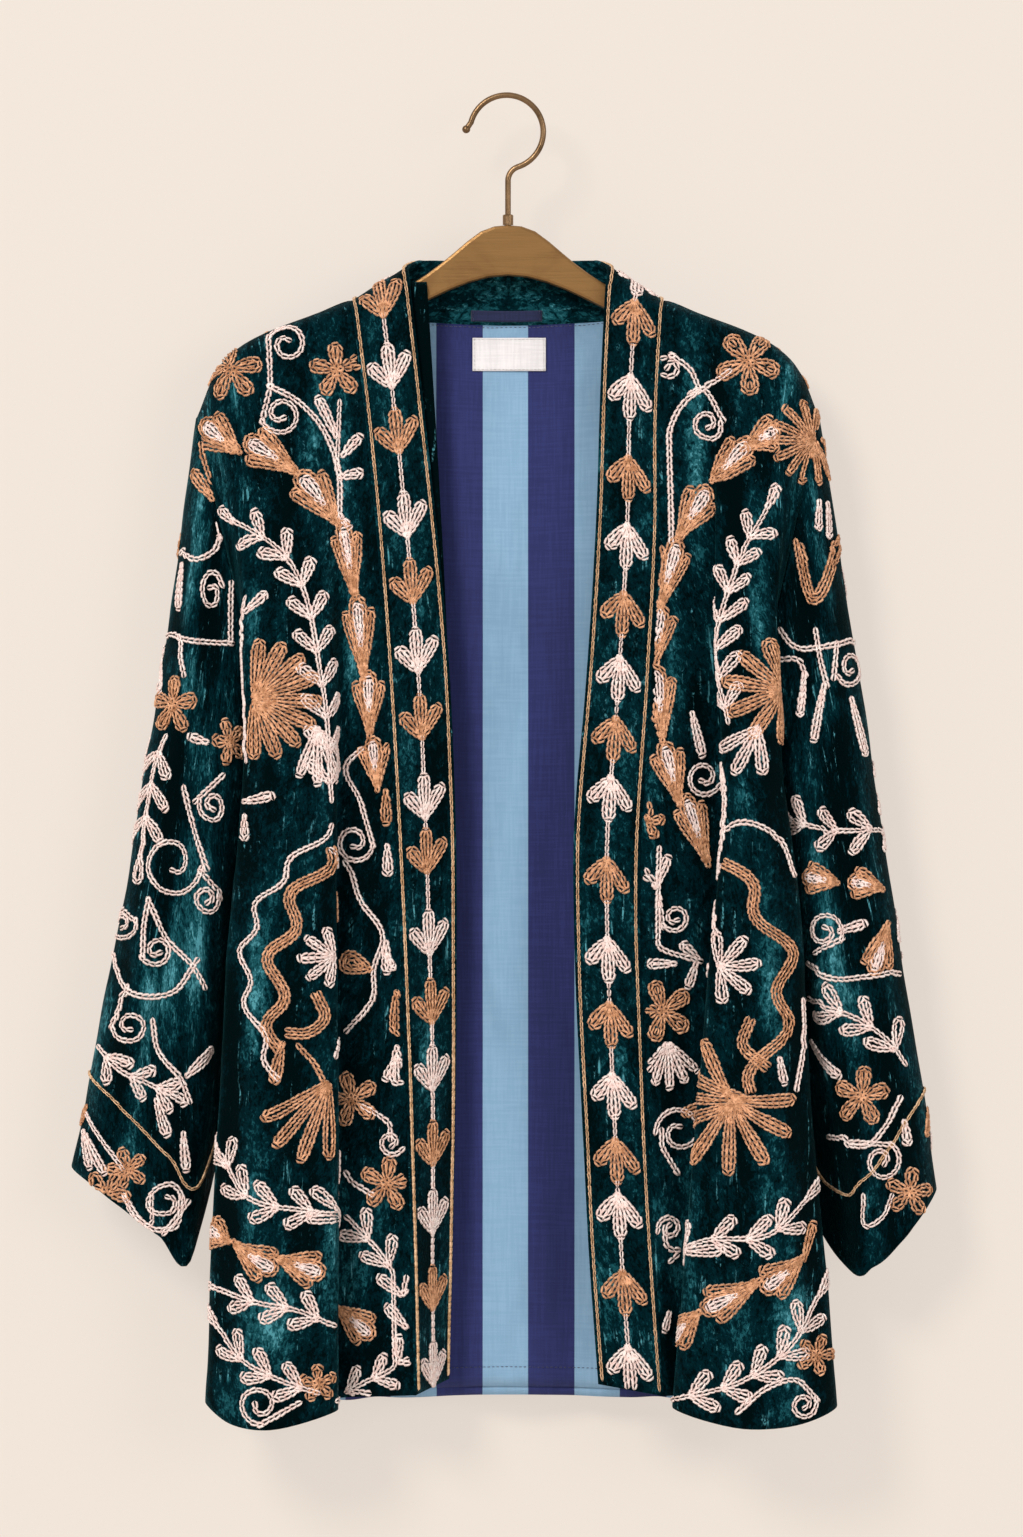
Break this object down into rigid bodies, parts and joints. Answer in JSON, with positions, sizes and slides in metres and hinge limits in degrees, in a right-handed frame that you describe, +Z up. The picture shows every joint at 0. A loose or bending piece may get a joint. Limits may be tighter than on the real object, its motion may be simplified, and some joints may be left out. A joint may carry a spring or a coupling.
{
  "type": "kimono jacket on a hanger",
  "caption": "Open-front kimono-cut jacket in lined crushed velvet with wide sleeves and an embroidered neck band, hung on a flat shaped hanger with a wire hook.",
  "frame": {"origin": "inside of the hook's top, where the hook rests on a rail", "axes": "+Z up, the jacket opens towards -Y, and the wearer's left is at +X"},
  "size_m": [0.588, 0.0912, 0.9049],
  "materials": {
    "velvet": "dark teal crushed velvet, pile down, with chain-stitch embroidery in pink and copper thread",
    "band_velvet": "dark teal velvet, doubled and interlined, embroidered down its length",
    "lining": "plain woven lining with broad navy and light blue stripes",
    "label_cloth": "white woven tape, bare",
    "brass": "satin gold-brown lacquer on the board",
    "dark_brass": "antiqued brass wire"
  },
  "bodies": {
    "root": {"back": "velvet", "front_left": "velvet", "front_right": "velvet", "sleeve_left": "velvet", "sleeve_right": "velvet", "band_left": "band_velvet", "band_right": "band_velvet", "lining_back": "lining", "hanging_loop": "lining", "label": "label_cloth", "hanger_board": "brass", "hanger_hook": "dark_brass", "hanger_ferrule": "dark_brass"}
  },
  "joints": []
}
